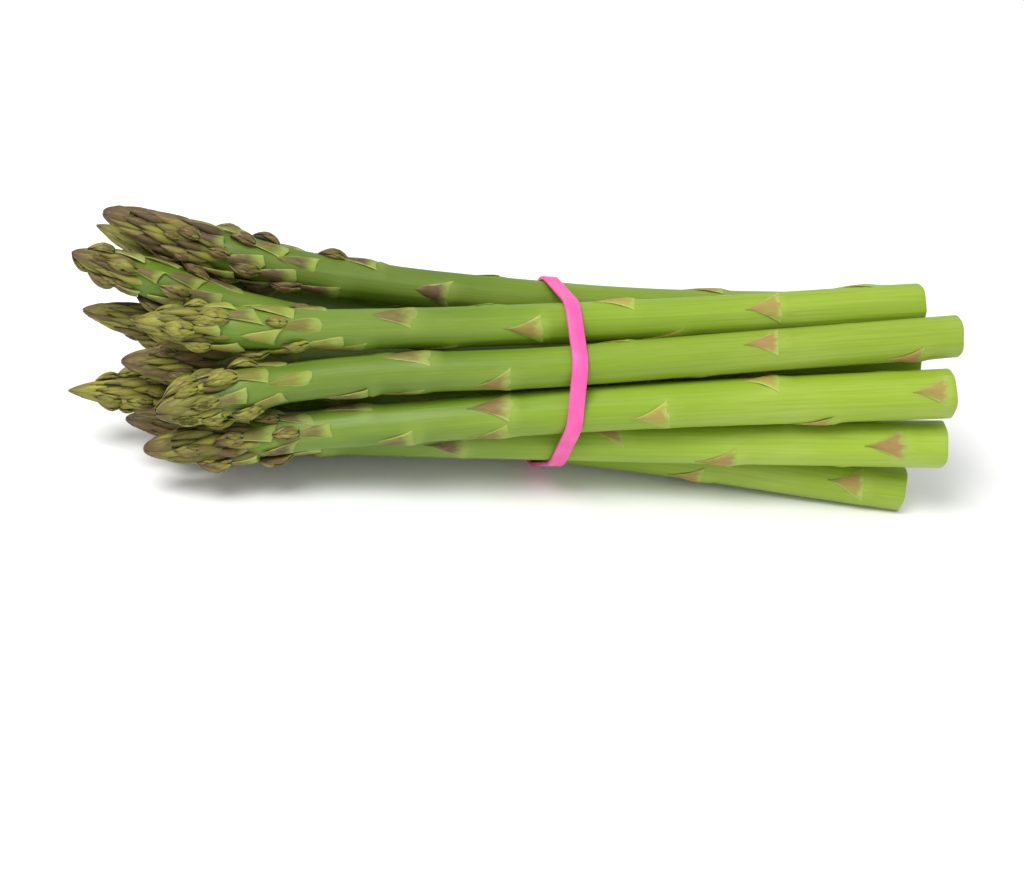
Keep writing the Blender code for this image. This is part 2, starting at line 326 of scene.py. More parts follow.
@dataclass(frozen=True)
class SpearFinish:
    """Fresh asparagus: waxy ribbed green stems, and scales that go from pale green to purple."""

    butt_green: Colour = linear(141, 167, 46)
    middle_green: Colour = linear(126, 154, 36)
    neck_green: Colour = linear(88, 116, 28)
    pale_green: Colour = linear(162, 180, 84)
    leaf_green: Colour = linear(98, 124, 36)
    foot_green: Colour = linear(138, 151, 70)
    tan: Colour = linear(162, 126, 74)
    light_tan: Colour = linear(168, 150, 84)
    olive: Colour = linear(100, 92, 34)
    light_olive: Colour = linear(128, 126, 46)
    brown: Colour = linear(94, 70, 42)
    purple: Colour = linear(78, 50, 48)
    # Painted shade: near-black for the furrows between the head's pads, the stem inside the closed head
    # and a bud's core.
    deep: Colour = linear(34, 30, 14)
    cream: Colour = linear(172, 178, 100)
    pith: Colour = linear(204, 220, 150)
    age_span: tuple[float, float] = (105.0, -60.0)
    strand_scale: float = 0.75
    grain_height: float = 0.00022
    grain_strength: float = 0.55
    roughness: float = 0.42
    gloss: float = 0.32
    wax: float = 0.03
    subsurface: float = 0.12

    def make(self) -> bpy.types.Material:
        """Returns:
            The material.
        """
        shop = Shop("asparagus")
        along, across, tone = shop.marks("leaf")
        kind, blush, cut = shop.marks("kind")
        grown = shop.node("ShaderNodeAttribute", {"attribute_name": "grown"}, {}, "Vector")
        age = shop.step(shop.marks("grown")[2], *self.age_span)
        patches = shop.noise(shop.stretched(grown, (0.12, 0.12, 0.03)), 3.0)
        streaks = shop.noise(shop.stretched(grown, (1.5, 1.5, 0.025)), 3.0, 0.6)
        fine = shop.noise(shop.stretched(grown, (3.6, 3.6, 0.12)), 2.0, 0.6)
        mottle = shop.noise(shop.stretched(grown, (0.9, 0.9, 0.35)), 3.0, 0.6)
        leafy = shop.step(kind, 0.1, 0.4)
        pad = shop.step(kind, 0.6, 0.9)

        colour = shop.mix(leafy, self._stem(shop, age, patches, streaks, fine, along, across),
                          shop.mix(pad, self._bract(shop, age, along, across, tone, blush, mottle, fine),
                                   self._pad(shop, along, across, blush, mottle, fine)))
        tint = (tone - 0.5) * (0.5 + pad * 0.4) + 1.0
        grey = shop.node("ShaderNodeCombineXYZ", {}, {0: tint, 1: tint, 2: tint})
        colour = shop.mix(1.0, colour, grey, "MULTIPLY")
        inputs = {"Vector": grown, "Scale": self.strand_scale}
        strands = shop.node("ShaderNodeTexVoronoi", {}, inputs, "Distance")
        pith = shop.mix(shop.step(strands, 0.12, 0.3), self.middle_green, self.pith)
        colour = shop.mix(cut, colour, pith)

        relief = streaks * 0.6 + fine * 0.25 + mottle * leafy * 0.3
        normal = shop.bump(relief, self.grain_height, self.grain_strength)
        rough = self.roughness + (fine - 0.5) * 0.25 + leafy * 0.12
        return shop.finish(
            Base_Color=colour, Roughness=rough, Normal=normal, Subsurface_Weight=self.subsurface,
            Subsurface_Radius=(0.8, 1.0, 0.35), Subsurface_Scale=0.0014, Specular_IOR_Level=self.gloss,
            Coat_Weight=self.wax, Coat_Roughness=0.3)

    def _stem(self, shop: Shop, age: Wire, patches: Wire, streaks: Wire, fine: Wire, swell: Wire,
              core: Wire) -> Wire:
        """The stem: yellow-green at its foot, deeper towards the head, paler under a bract, and darkened
        with painted shade inside the closed head.

        Args:
            shop: The node tree's workshop.
            age: 0 at the cut end to 1 at the head.
            patches: Broad noise.
            streaks: Noise drawn out along the stem.
            fine: Finer noise drawn out along the stem.
            swell: How near a bract's foot is.
            core: 1 inside the closed head.

        Returns:
            The colour.
        """
        stem = shop.mix(shop.step(age, 0.0, 0.55), self.butt_green, self.middle_green)
        stem = shop.mix(shop.step(age, 0.5, 1.0), stem, self.neck_green)
        stem = shop.mix(shop.step(patches, 0.42, 0.72) * (0.42 - age * 0.26), stem, self.pale_green)
        stem = shop.mix(shop.step(streaks, 0.35, 0.8) * 0.28, stem, self.neck_green)
        stem = shop.mix(shop.step(fine, 0.5, 0.85) * 0.16, stem, self.pale_green)
        stem = shop.mix(swell * 0.35, stem, self.pale_green)
        stem = shop.mix(core, stem, self.neck_green)
        # Painted shade: inside the closed head the stem, seen only between the pads, goes most of the way
        # to near-black.
        return shop.mix(shop.step(core, 0.5, 1.0) * 0.7, stem, self.deep)

    def _bract(self, shop: Shop, age: Wire, along: Wire, across: Wire, tone: Wire, blush: Wire,
               mottle: Wire, fine: Wire) -> Wire:
        """A bract: tan or purple, with a pale foot and thin pale edges.

        Args:
            shop: The node tree's workshop.
            age: 0 at the cut end to 1 at the head.
            along: 0 at its foot to 1 at its tip.
            across: 0 at its middle to 1 at its edges.
            tone: Its lightness.
            blush: How purple it is.
            mottle: Blotchy noise.
            fine: Fine noise drawn out along the stem.

        Returns:
            The colour.
        """
        young = shop.step(age, 0.45, 0.95)
        body = shop.mix(shop.step(mottle, 0.38, 0.68) * 0.5, self.tan, self.light_tan)
        body = shop.mix(young, body, shop.mix(blush, self.light_olive, self.purple))
        body = shop.mix(shop.step(mottle + along * 0.3, 0.5, 0.85) * 0.4, body, self.brown)
        foot = shop.step(along + (mottle - 0.5) * 0.4 - young * 0.05, 0.0, 0.2 + young * 0.16)
        bract = shop.mix(foot, shop.mix(young, self.pale_green, self.foot_green), body)
        fading = shop.step(tone + mottle * 0.9 + across * 0.3, 0.95, 1.5) * (1.0 - young * 0.6)
        bract = shop.mix(fading * 0.85, bract, shop.mix(young, self.butt_green, self.middle_green))
        bract = shop.mix(shop.step(across + (mottle - 0.5) * 0.4, 0.78, 1.05) * 0.8, bract, self.cream)
        bract = shop.mix(shop.step(along, 0.7, 1.0) * 0.6, bract, self.leaf_green)
        return shop.mix(shop.step(fine, 0.45, 0.75) * 0.25, bract, self.light_olive)

    def _pad(self, shop: Shop, along: Wire, across: Wire, blush: Wire, mottle: Wire, fine: Wire) -> Wire:
        """A pad of the head: a pale green foot, an olive body, darker purple tip and edges, and painted
        shade at its outer edges.

        Args:
            shop: The node tree's workshop.
            along: 0 at its foot to 1 at its tip.
            across: 0 at its middle to 1 at its edges.
            blush: How purple it is.
            mottle: Blotchy noise.
            fine: Fine noise drawn out along the spear.

        Returns:
            The colour.
        """
        body = shop.mix(shop.step(blush + (mottle - 0.5) * 0.8, 0.35, 1.05), self.light_olive, self.brown)
        body = shop.mix(shop.step(mottle, 0.5, 0.75) * 0.4, body, self.leaf_green)
        dark = shop.mix(blush, self.olive, self.purple)
        pad = shop.mix(shop.step(along, 0.05, 0.34), self.foot_green, body)
        pad = shop.mix(shop.step(along + (mottle - 0.5) * 0.5, 0.5, 1.05) * 0.9, pad, dark)
        pad = shop.mix(shop.step(fine, 0.42, 0.72) * 0.3, pad, self.light_olive)
        pad = shop.mix(shop.step(across, 0.45, 0.95) * 0.55, pad, dark)
        # Painted shade: the outer edges go near-black where the furrows between the pads lie.
        return shop.mix(shop.step(across, 0.62, 0.96) * 0.9, pad, self.deep)


@dataclass(frozen=True)
class BandFinish:
    """Satin pink elastic with faint rolling lines."""

    pink: Colour = linear(230, 92, 164)
    deep: Colour = linear(212, 66, 140)
    grain_height: float = 0.00008
    roughness: float = 0.42

    def make(self) -> bpy.types.Material:
        """Returns:
            The material.
        """
        shop = Shop("band_pink")
        place = shop.node("ShaderNodeTexCoord", {}, {}, "Object")
        lines = shop.noise(shop.stretched(place, (2600.0, 160.0, 160.0)), 2.0)
        cloud = shop.noise(shop.stretched(place, (180.0, 180.0, 180.0)), 3.0)
        colour = shop.mix(shop.step(cloud, 0.35, 0.7) * 0.6, self.pink, self.deep)
        colour = shop.mix(shop.step(lines, 0.45, 0.7) * 0.25, colour, self.deep)
        normal = shop.bump(lines, self.grain_height, 0.5)
        rough = self.roughness + (cloud - 0.5) * 0.2
        return shop.finish(
            Base_Color=colour, Roughness=rough, Normal=normal, Subsurface_Weight=0.2,
            Subsurface_Radius=(1.0, 0.35, 0.6), Subsurface_Scale=0.001)


@dataclass(frozen=True)
class FloorFinish:
    """A plain matt white table."""

    white: Colour = linear(250, 250, 250)
    shade: Colour = linear(244, 244, 245)

    def make(self) -> bpy.types.Material:
        """Returns:
            The material.
        """
        shop = Shop("floor_white")
        place = shop.node("ShaderNodeTexCoord", {}, {}, "Object")
        cloud = shop.noise(shop.stretched(place, (3.0, 3.0, 3.0)), 3.0)
        colour = shop.mix(shop.step(cloud, 0.3, 0.7), self.white, self.shade)
        return shop.finish(Base_Color=colour, Roughness=0.6)


@dataclass(frozen=True)
class Spear:
    """One spear: its middle line in (y, z) from the bundle's axis, its sizes and its colouring.

    Attributes:
        name: The solid's name.
        butt_x: Where its cut end is, along the bundle.
        butt: The middle line at the cut end.
        tie: The middle line at the band.
        neck: The middle line under the head.
        tip: The growing tip, with its place along the bundle first.
        widths: Across the cut end, the band, the neck and the head.
        head: The head's length.
        taper: How sharp the tip is. A small one is blunt.
        bract_x: Where one of its bracts is. The others follow from it.
        bract_turn: That bract's turn, in degrees.
        bract_step: From one bract to the next.
        hand: The way that the bracts wind, 1 or -1.
        blush: How purple its scales are, 0 to 1.
        lightness: How light its scales are, 0 to 1.
        stem_light: How light its stem is, 0 to 1.
        open_rows: The share of the head's rows that are open leaves.
    """

    name: str
    butt_x: float
    butt: tuple[float, float]
    tie: tuple[float, float]
    neck: tuple[float, float]
    tip: tuple[float, float, float]
    widths: tuple[float, float, float, float]
    head: float
    taper: float
    bract_x: float
    bract_turn: float
    bract_step: float
    hand: int = 1
    blush: float = 0.6
    lightness: float = 0.5
    stem_light: float = 0.5
    open_rows: float = 0.33

    def line(self, x: np.ndarray) -> np.ndarray:
        """The middle line's points.

        Args:
            x: Places along the bundle.

        Returns:
            The points, with one more axis than x.
        """
        x = np.asarray(x, float)
        stations = (self.butt_x, TIE_X, NECK_X, self.tip[0])
        ys = (self.butt[0], self.tie[0], self.neck[0], self.tip[1])
        zs = (self.butt[1], self.tie[1], self.neck[1], self.tip[2])
        y = self._curve(stations, ys, x) - MIDDLE[1]
        z = self._curve(stations, zs, x) + AXIS_HEIGHT
        return np.stack((x - MIDDLE[0], y, z), axis=-1)

    @staticmethod
    def _curve(xs: tuple[float, ...], ys: tuple[float, ...], x: np.ndarray) -> np.ndarray:
        """A smooth curve through the points, whose xs fall.

        Args:
            xs: The stations.
            ys: The heights there.
            x: Where the curve is wanted.

        Returns:
            Its heights.
        """
        runs = np.diff(xs)
        slopes = np.diff(ys) / runs
        inner = (slopes[:-1] * runs[1:] + slopes[1:] * runs[:-1]) / (runs[:-1] + runs[1:])
        tangents = np.concatenate(([slopes[0]], inner, [slopes[-1]]))
        k = np.sum([x <= middle for middle in xs[1:-1]], axis=0)
        xs, ys = np.array(xs), np.array(ys)
        run = runs[k]
        t = (x - xs[k]) / run
        leaving = tangents[k] * run * (t**3 - 2 * t**2 + t)
        arriving = tangents[k + 1] * run * (t**3 - t**2)
        return ys[k] * (2 * t**3 - 3 * t**2 + 1) + leaving + ys[k + 1] * (3 * t**2 - 2 * t**3) + arriving

    def radius(self, x: np.ndarray) -> np.ndarray:
        """Half the spear's width: it swells from the neck and rounds off to the tip.

        Args:
            x: Places along the bundle.

        Returns:
            The radii.
        """
        x = np.asarray(x, float)
        butt, tie, neck, head = self.widths
        head_x = self.tip[0] + self.head
        stem = np.interp(x, (head_x, TIE_X, self.butt_x), (neck, tie, butt))
        share = np.clip((x - self.tip[0]) / self.head, 0.0, 1.0)
        dome = head * np.sin(np.minimum(share / HEAD_BULGE, 1.0) * math.pi / 2) ** self.taper
        fall = np.clip((share - HEAD_BULGE) / (1 - HEAD_BULGE), 0.0, 1.0)
        swell = head + (neck - head) * fall * fall * (3 - 2 * fall)
        return 0.5 * np.where(x > head_x, stem, np.where(share <= HEAD_BULGE, dome, swell))

    def around(self, x: np.ndarray, turn: np.ndarray, radius: np.ndarray) -> np.ndarray:
        """Points round the middle line. Turn 0 is +Y and 90 is up.

        Args:
            x: Places along the bundle.
            turn: Degrees round the spear.
            radius: Distances from the middle line.

        Returns:
            The points.
        """
        x, turn, radius = np.broadcast_arrays(np.asarray(x, float), turn, radius)
        way = self.line(x + 0.5) - self.line(x - 0.5)
        way /= np.linalg.norm(way, axis=-1, keepdims=True)
        upward = np.array((0.0, 0.0, 1.0)) - way * way[..., 2:]
        upward /= np.linalg.norm(upward, axis=-1, keepdims=True)
        sideways = np.cross(upward, way)
        angle = np.radians(turn)[..., None]
        out = np.cos(angle) * sideways + np.sin(angle) * upward
        return self.line(x) + radius[..., None] * out

    def place(self, x: np.ndarray, turn: np.ndarray, radius: np.ndarray) -> tuple[np.ndarray, ...]:
        """Hands a place round the spear back as it is. For a bud the same call turns it into one."""
        return x, turn, radius

    @property
    def budding(self) -> bool:
        """True of the purplest spears, which carry buds on their stems too."""
        return self.blush > BUDDING_BLUSH

    @property
    def rows(self) -> int:
        """The number of rows of pads on the head."""
        return round(self.head / PAD_ROW_STEP)

    def row_x(self, row: float) -> float:
        """Where a row of pads lies. Rows crowd together towards the tip.

        Args:
            row: The row, counted from the neck.

        Returns:
            Its place along the bundle.
        """
        return self.tip[0] + self.head * (1 - row / self.rows) ** HEAD_ROW_SHRINK

    def relief(self, x: np.ndarray) -> np.ndarray:
        """How far the pads stand over the furrows between them.

        Args:
            x: Places along the bundle.

        Returns:
            The heights.
        """
        share = np.clip((np.asarray(x, float) - self.tip[0]) / self.head, 0.0, 1.0)
        row = self.rows * (1 - share ** (1 / HEAD_ROW_SHRINK))
        return self.radius(x) * PAD_RELIEF * np.clip(row / 3, 0.0, 1.0)


SPEARS = (
    Spear("spear_01", butt_x=104, butt=(13.5, 15.5), tie=(10.5, 14), neck=(10.5, 21.5),
          tip=(-108, 13.5, 29.5), widths=(11, 10, 10, 12.5), head=52, taper=0.42,
          bract_x=-18.5, bract_turn=160, bract_step=12,
          blush=0.9, lightness=0.48, stem_light=0.08, open_rows=0.36),
    Spear("spear_02", butt_x=98, butt=(20.5, 5.5), tie=(17.5, 4), neck=(16.5, 10),
          tip=(-110, 23.5, 20.5), widths=(11, 10.5, 9.5, 12), head=48, taper=0.7,
          bract_x=82, bract_turn=30, bract_step=14.5,
          blush=0.35, lightness=0.6),
    Spear("spear_03", butt_x=96, butt=(11, -3), tie=(7.6, -1), neck=(3.2, 10.9),
          tip=(-115, 6.5, 21), widths=(11, 10, 8.5, 11), head=40, taper=0.5,
          bract_x=86, bract_turn=60, bract_step=14.0, hand=-1,
          blush=0.75, lightness=0.4, open_rows=0.5),
    Spear("spear_04", butt_x=101, butt=(21.5, -9), tie=(16.2, -8.7), neck=(8, -0.8),
          tip=(-112, 10.5, 2.5), widths=(11, 10.5, 9, 11), head=42, taper=0.55,
          bract_x=88, bract_turn=330, bract_step=15.0,
          blush=0.6, lightness=0.55),
    Spear("spear_05", butt_x=105, butt=(4.5, 23.5), tie=(-5.5, 17.2), neck=(-15.5, 15),
          tip=(-98, -17, 15.6), widths=(11.5, 10.5, 10, 12), head=44, taper=0.5,
          bract_x=65.5, bract_turn=132, bract_step=13, hand=-1,
          blush=0.25, lightness=0.5, open_rows=0.46),
    Spear("spear_06", butt_x=106, butt=(1, 10), tie=(-4.4, 4.8), neck=(-8, 0),
          tip=(-101, -10, 0), widths=(11.5, 10.3, 9.5, 12), head=42, taper=0.5,
          bract_x=92, bract_turn=100, bract_step=15.0, hand=-1,
          blush=0.8, lightness=0.5),
    Spear("spear_07", butt_x=97, butt=(-2, -3.5), tie=(-3.2, -7), neck=(-1.2, -13.2),
          tip=(-114, -7.5, -11), widths=(11, 10.5, 9.5, 11.5), head=46, taper=0.7,
          bract_x=85, bract_turn=200, bract_step=14.0,
          blush=0.4, lightness=0.85),
    Spear("spear_08", butt_x=113, butt=(-7, 21.5), tie=(-16, 10.8), neck=(-25, 1.5),
          tip=(-91.5, -30.5, -1.8), widths=(11, 10.2, 9.7, 13), head=32, taper=0.42,
          bract_x=64, bract_turn=126, bract_step=19,
          blush=0.4, lightness=0.5, stem_light=0.35, open_rows=0.4),
    Spear("spear_09", butt_x=113, butt=(-15.5, -6.5), tie=(-14.5, -12.5), neck=(-12.2, -16.8),
          tip=(-99, -16, -13), widths=(12.5, 11, 9.2, 10.2), head=40, taper=0.5,
          bract_x=100.5, bract_turn=153, bract_step=14.7,
          blush=1.0, lightness=0.3, stem_light=0.75),
    Spear("spear_10", butt_x=112, butt=(-14.5, 8.5), tie=(-19, -0.8), neck=(-24, -12.6),
          tip=(-94, -26.8, -15), widths=(13, 11.5, 10, 12.2), head=42, taper=0.45,
          bract_x=109, bract_turn=143, bract_step=14.5, hand=-1,
          blush=0.7, lightness=0.5, stem_light=0.6, open_rows=0.28),
    Spear("spear_11", butt_x=106, butt=(-12.5, -22.9), tie=(-4, -20), neck=(3.2, -24),
          tip=(-92, 4, -24.2), widths=(12, 11, 9, 10), head=38, taper=0.55,
          bract_x=94, bract_turn=155, bract_step=14,
          blush=0.7, lightness=0.45),
    Spear("spear_12", butt_x=94, butt=(6.5, -23), tie=(8.3, -18.2), neck=(15, -23.6),
          tip=(-86, 17, -24), widths=(12, 11, 9, 11), head=38, taper=0.55,
          bract_x=78, bract_turn=20, bract_step=14.0, hand=-1,
          blush=0.6, lightness=0.5),
)


def band_x(point: np.ndarray) -> np.ndarray:
    """Where along X the band's middle is, on this side of the bundle.

    Args:
        point: A point near the bundle's side, or several.

    Returns:
        The band's place there.
    """
    across = point - np.array((0.0, -MIDDLE[1], AXIS_HEIGHT))
    return BAND_X - MIDDLE[0] - BAND_LEAN * (across @ LEAN_WAY)


class Plan(Enum):
    """A scale's outline, seen from straight above it."""

    LENS = "widest in the middle, with a point"
    CAP = "wide up to its rounded end"
    LEAF = "a blade with two drawn-out corners at its foot"
    ARROW = "a triangle with hollow sides"


@dataclass(frozen=True)
class Form:
    """The form of a scale, from its foot at 0 to its tip at 1. Heights are over its host's skin.

    Attributes:
        plan: Its outline.
        foot: The ridge's height at the foot.
        crest: The ridge's height at its highest.
        tip: The ridge's height at the tip.
        sides: How far the edges lie under the ridge.
        body: The thickness at the foot.
        crest_at: Where the ridge is highest.
        notch: How far the foot's middle is cut in. Below 0 it is drawn out.
        slant: How far the foot's line leans.
        ears: How far the foot's corners stand up.
        rounding: The share of the length over which the foot is rounded off.
        roof: How flat the top is between its edges.
        columns: The number of points across the outer face.
        rows: Where its rings of points lie.
    """

    plan: Plan
    foot: float
    crest: float
    tip: float
    sides: float
    body: float = 0.8
    crest_at: float = 0.6
    notch: float = 0.0
    slant: float = 0.0
    ears: float = 0.0
    rounding: float = 0.0
    roof: float = 2.2
    columns: int = 9
    rows: tuple[float, ...] = (0, 0.06, 0.2, 0.38, 0.56, 0.72, 0.85, 0.94, 1.0)

    def width(self, s: np.ndarray) -> np.ndarray:
        """The width along the scale.

        Args:
            s: The share of the length.

        Returns:
            The share of the full width.
        """
        if self.plan is Plan.LENS:
            belly = 0.6 + 0.4 * np.sin(np.minimum(s / 0.45, 1.0) * math.pi / 2)
            wide = belly * np.clip(1 - s**2.2, 0, 1) ** 0.75
        elif self.plan is Plan.CAP:
            wide = np.clip(1 - s**6, 0, 1) ** 0.5
        elif self.plan is Plan.LEAF:
            wide = (0.5 + 0.5 * (1 - s) ** 2.2) * np.clip(1 - s**3.5, 0, 1) ** 0.7
        else:
            wide = 0.7 * (1 - s) ** 1.6 + 0.3 * (1 - s)
        return np.maximum(wide, 0.04) * self.fullness(s)

    def fullness(self, s: np.ndarray) -> np.ndarray:
        """What the rounding of the foot leaves of the width and the thickness.

        Args:
            s: The share of the length.

        Returns:
            1, or less near a rounded foot.
        """
        if self.rounding == 0:
            return np.ones_like(s)
        return 0.35 + 0.65 * np.sqrt(1 - np.clip(1 - s / self.rounding, 0, 1) ** 2)

    def height(self, s: np.ndarray, side: np.ndarray) -> np.ndarray:
        """The height of the outer face, across as well as along.

        Args:
            s: The share of the length.
            side: -1 at one edge to 1 at the other.

        Returns:
            The height over the host's skin.
        """
        rise = np.sin(np.minimum(s / self.crest_at, 1.0) * math.pi / 2) ** 0.9
        fall = np.clip((s - self.crest_at) / (1 - self.crest_at), 0, 1) ** 2
        ridge = self.foot + (self.crest - self.foot) * rise + (self.tip - self.crest) * fall
        camber = self.sides * (1 - 0.6 * s * s) * np.abs(side) ** self.roof
        ears = self.ears * np.exp(-(((1 - np.abs(side)) / 0.3) ** 2)) * np.exp(-((s / 0.16) ** 2))
        return ridge - camber + ears - 0.6 * self.body * (1 - self.fullness(s))

    def depth(self, s: np.ndarray, side: np.ndarray) -> np.ndarray:
        """The thickness under the outer face.

        Args:
            s: The share of the length.
            side: -1 at one edge to 1 at the other.

        Returns:
            The thickness.
        """
        return 0.12 + self.body * (1 - 0.75 * s) * (1 - 0.75 * side**2) * self.fullness(s)


@dataclass(frozen=True)
class Bud:
    """A side bud: a spindle that lies against the spear and carries scales of its own."""

    spear: Spear
    foot_x: float
    turn: float
    length: float
    width: float
    seat: float

    def share(self, x: np.ndarray) -> np.ndarray:
        """The share of the bud's length, from its foot."""
        return np.clip((self.foot_x - np.asarray(x, float)) / self.length, 0.0, 1.0)

    def radius(self, x: np.ndarray) -> np.ndarray:
        """Half the bud's width: full near its foot, and a point at its tip."""
        return 0.5 * self.width * np.sin(math.pi * (0.18 + 0.82 * self.share(x))) ** 0.8

    def place(self, x: np.ndarray, turn: np.ndarray, radius: np.ndarray) -> tuple[np.ndarray, ...]:
        """Turns a place round the bud into one round the spear.

        Args:
            x: Places along the bundle.
            turn: Degrees round the bud, from straight out.
            radius: Distances from the bud's middle line.

        Returns:
            The same places, the turns and the distances round the spear.
        """
        x, turn, radius = np.broadcast_arrays(x, turn, radius)
        angle = np.radians(turn)
        dip = 0.2 * self.width * (2 * self.share(x) - 1) ** 2
        middle = self.spear.radius(x) + self.seat * self.width * 0.5 - dip
        out = middle + radius * np.cos(angle)
        return x, self.turn + np.degrees(radius * np.sin(angle) / np.maximum(middle, 1.0)), out


@dataclass
class Skin:
    """The growing mesh of one spear, and what its finish reads at each point."""

    spear: Spear
    places: list[np.ndarray] = field(default_factory=list)
    leaf: list[np.ndarray] = field(default_factory=list)
    kind: list[np.ndarray] = field(default_factory=list)
    faces: list[tuple[int, ...]] = field(default_factory=list)
    count: int = 0

    def add_shell(self, place: tuple[np.ndarray, ...], flesh: Flesh, along: np.ndarray | float,
                  across: np.ndarray | float, tone: float, blush: float,
                  cut: np.ndarray | float = 0.0) -> None:
        """Adds a closed shell: rings from the cut end towards the tip, capped at both ends.

        Args:
            place: Each point's place along the bundle, its turn and its distance from the
                spear's middle line, one row a ring. Turns rise along a ring's outer side.
            flesh: What the shell is.
            along: 0 at the shell's foot to 1 at its tip.
            across: 0 at its middle to 1 at its edges.
            tone: Its lightness, 0 to 1.
            blush: How purple it is.
            cut: 1 where it is cut flesh.
        """
        arrays = np.broadcast_arrays(*place, along, across, cut)
        x, turn, radius, along, across, cut = (array.astype(float) for array in arrays)
        rows, columns = x.shape
        self.places.append(np.stack((x, turn, radius), -1).reshape(-1, 3))
        self.leaf.append(np.stack((along, across, np.full_like(x, tone)), -1).reshape(-1, 3))
        marks = (np.full_like(x, flesh.value), np.full_like(x, blush), cut)
        self.kind.append(np.stack(marks, -1).reshape(-1, 3))
        first = self.count
        for r in range(rows - 1):
            low = first + r * columns
            high = low + columns
            for c in range(columns):
                d = (c + 1) % columns
                self.faces.append((low + c, high + c, high + d, low + d))
        self.faces.append(tuple(range(first, first + columns)))
        last = first + (rows - 1) * columns
        self.faces.append(tuple(range(last + columns - 1, last - 1, -1)))
        self.count += rows * columns

    def add_scale(self, host: Spear | Bud, foot_x: float, length: float, turn: float, half: float,
                  form: Form, flesh: Flesh, tone: float, blush: float, bend: float = 0.0,
                  hidden: float = 0.0) -> None:
        """Adds one scale: a boat-shaped shell that lies along its host.

        Args:
            host: The spear or the bud that it grows on.
            foot_x: Where its foot is.
            length: From foot to tip.
            turn: Degrees round the host to its middle.
            half: Half its width, in degrees.
            form: Its form.
            flesh: What it is.
            tone: Its lightness.
            blush: How purple it is.
            bend: How far round its tip swings, in degrees.
            hidden: How much of its pale foot lies under the scales before it.
        """
        s = np.array(form.rows, float)[:, None]
        upper = np.linspace(-1.0, 1.0, form.columns)
        lower = np.linspace(0.8, -0.8, max(3, form.columns // 2))
        side = np.concatenate((upper, lower))[None, :]
        inner = np.concatenate((np.zeros_like(upper), np.ones_like(lower)))[None, :]
        hollow = 1 - side**2 if form.notch > 0 else (1 - np.abs(side)) ** 1.3
        x = foot_x - length * (s + (form.notch * hollow + form.slant * side) * (1 - s) ** 3)
        angle = turn + side * half * form.width(s) + bend * s * s
        radius = host.radius(x) + form.height(s, side) - inner * form.depth(s, side)
        place = host.place(x, angle, np.maximum(radius, 0.15))
        self.add_shell(place, flesh, hidden + (1 - hidden) * s, np.abs(side), tone, blush)

    def make(self, material: bpy.types.Material) -> bpy.types.Object:
        """Makes the object.

        Args:
            material: The spear's finish.

        Returns:
            The object, at the origin and in metres.
        """
        places = np.concatenate(self.places)
        points = self.spear.around(places[:, 0], places[:, 1], places[:, 2])
        angle = np.radians(places[:, 1])
        rounds = (places[:, 2] * np.cos(angle), places[:, 2] * np.sin(angle), places[:, 0])
        # What would pass the solids' box is pressed flat against it.
        low, high = (np.array(corner) / MM for corner in CAD_BOX)
        points = np.clip(points, low, high)
        mesh = bpy.data.meshes.new(self.spear.name)
        mesh.from_pydata((points * MM).tolist(), [], self.faces)
        marks = {"leaf": np.concatenate(self.leaf), "kind": np.concatenate(self.kind),
                 "grown": np.stack(rounds, -1)}
        for name, values in marks.items():
            attribute = mesh.attributes.new(name, "FLOAT_VECTOR", "POINT")
            attribute.data.foreach_set("vector", values.astype(np.float32).ravel())
        mesh.materials.append(material)
        mesh.shade_smooth()
        mesh.set_sharp_from_angle(angle=math.radians(50))
        piece = bpy.data.objects.new(self.spear.name + "_skin", mesh)
        bpy.context.scene.collection.objects.link(piece)
        return piece


# Where the rings of a scale's points lie, by its kind.
BRACT_ROWS = (0, 0.03, 0.1, 0.2, 0.32, 0.45, 0.58, 0.7, 0.82, 0.92, 1.0)
BEAD_ROWS = (0, 0.06, 0.16, 0.35, 0.6, 0.82, 1.0)
TIP_ROWS = (0, 0.25, 0.45, 0.62, 0.76, 0.86, 0.93, 0.97, 0.988, 0.996, 1.0)

# A bud's core, and its rings of scales: where each starts, its share of the length, and its turns.
BUD_STATIONS = (0.02, 0.15, 0.35, 0.55, 0.75, 0.92)
BUD_RINGS = (
    (0.0, 0.4, (-80, -30, 30, 80)),
    (0.1, 0.45, (-60, 0, 60)),
    (0.24, 0.5, (-75, -25, 25, 75)),
    (0.4, 0.5, (-50, 0, 50)),
    (0.54, 0.45, (-30, 30)),
)


